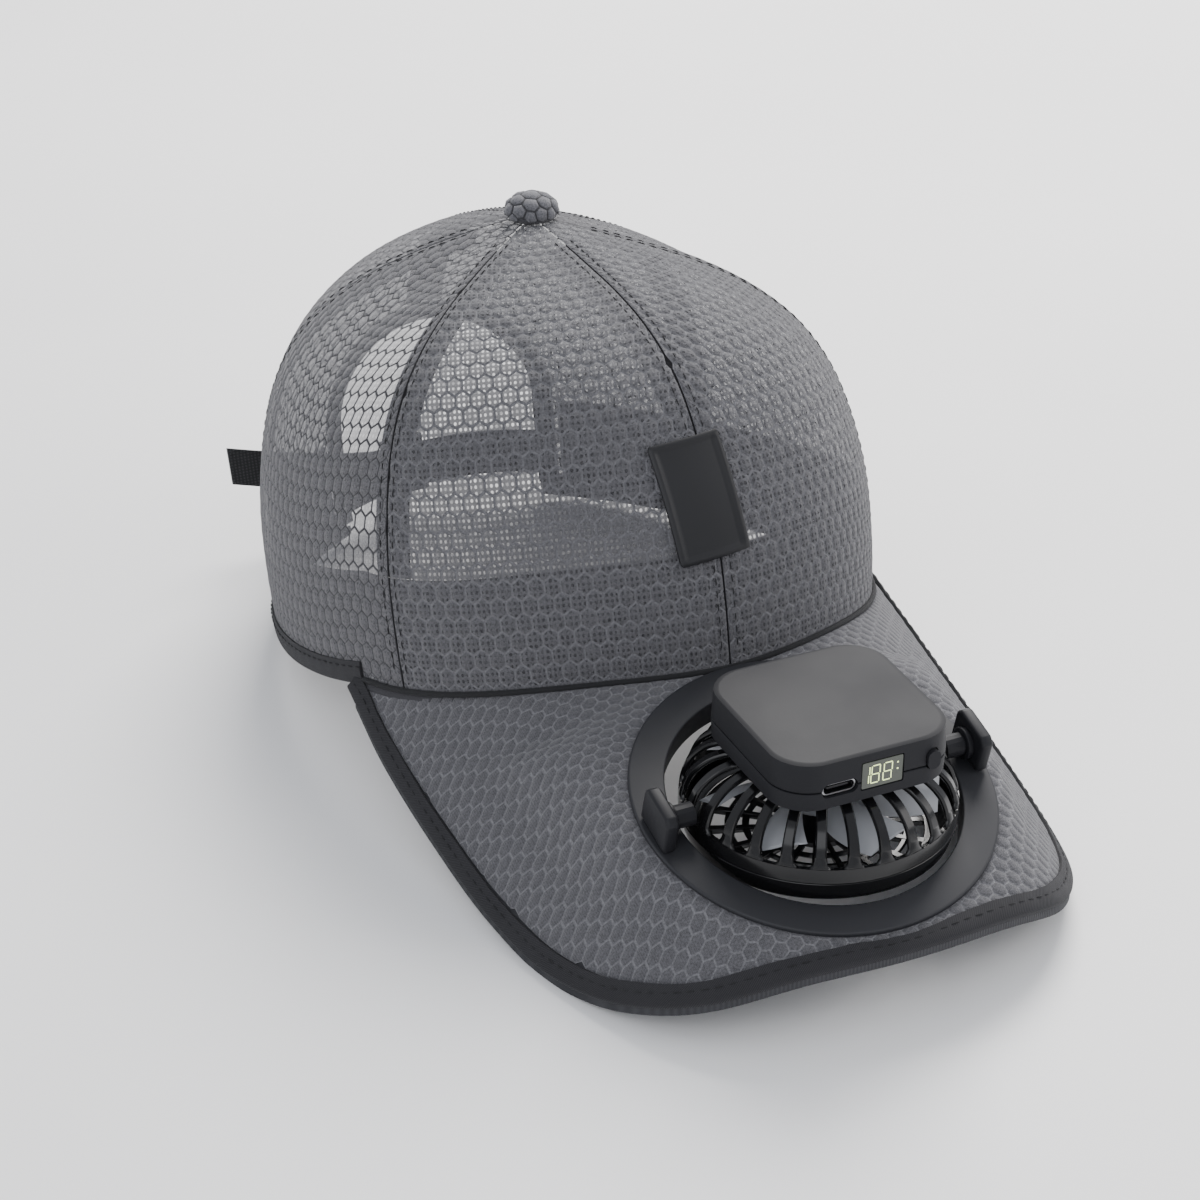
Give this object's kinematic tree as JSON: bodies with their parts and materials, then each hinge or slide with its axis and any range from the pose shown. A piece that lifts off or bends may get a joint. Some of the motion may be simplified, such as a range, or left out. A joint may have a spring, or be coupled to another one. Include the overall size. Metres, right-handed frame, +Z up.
{
  "type": "fan cap",
  "caption": "Six-panel net cap with a curved peak, a strap across its back opening and a small tilting fan under a battery box set in the peak.",
  "frame": {"origin": "centre of the footprint, on the surface the cap rests on", "axes": "-Y is the front, where the peak points; +X is the wearer's left; +Z is up from the rim to the top button"},
  "size_m": [0.166, 0.3106, 0.1348],
  "materials": {
    "net_cloth": "honeycomb net of dull grey thread",
    "binding_tape": "twill tape, charcoal",
    "webbing": "woven black webbing",
    "patch_rubber": "smooth black rubber with a raised edge",
    "satin_plastic": "fine satin charcoal",
    "gloss_plastic": "polished black",
    "blade_plastic": "smooth blue-grey",
    "socket_metal": "pressed steel shell",
    "display_glass": "smoked window with lit digits behind it"
  },
  "bodies": {
    "cap": {"crown_front_right": "net_cloth", "crown_front_left": "net_cloth", "crown_side_right": "net_cloth", "crown_side_left": "net_cloth", "crown_back_right": "net_cloth", "crown_back_left": "net_cloth", "seam_tape_front": "binding_tape", "seam_tape_front_right": "binding_tape", "seam_tape_front_left": "binding_tape", "seam_tape_back_right": "binding_tape", "seam_tape_back_left": "binding_tape", "seam_tape_back": "binding_tape", "sweatband": "binding_tape", "arch_binding": "binding_tape", "rim_binding_right": "binding_tape", "rim_binding_left": "binding_tape", "top_button": "net_cloth", "front_patch": "patch_rubber", "back_strap": "webbing", "strap_slider": "satin_plastic", "strap_tail": "webbing", "peak": "net_cloth", "peak_binding": "binding_tape", "fan_ring": "satin_plastic", "ear_right": "satin_plastic", "ear_left": "satin_plastic"},
    "fan_head": {"pivot_right": "satin_plastic", "pivot_left": "satin_plastic", "fan_cage": "gloss_plastic", "lower_guard": "gloss_plastic", "motor": "satin_plastic", "battery_base": "satin_plastic", "battery_top": "satin_plastic", "display_window": "display_glass", "usb_socket": "socket_metal"},
    "impeller": {"impeller": "blade_plastic"},
    "power_button": {"power_button": "satin_plastic"}
  },
  "joints": [
    {"name": "fan_tilt", "type": "hinge", "parent": "cap", "child": "fan_head", "pos_m": [0, -0.10635, 0.04075], "axis": [1, 0, 0], "range_deg": [-30, 40]},
    {"name": "impeller_spin", "type": "hinge", "parent": "fan_head", "child": "impeller", "pos_m": [0, -0.10635, 0.04075], "axis": [0, -0.0349, 0.9994], "continuous": true},
    {"name": "button_press", "type": "slide", "parent": "fan_head", "child": "power_button", "axis": [0, 0.9994, 0.0349], "range_m": [0, 0.0006], "stiffness_N_per_m": 300}
  ]
}
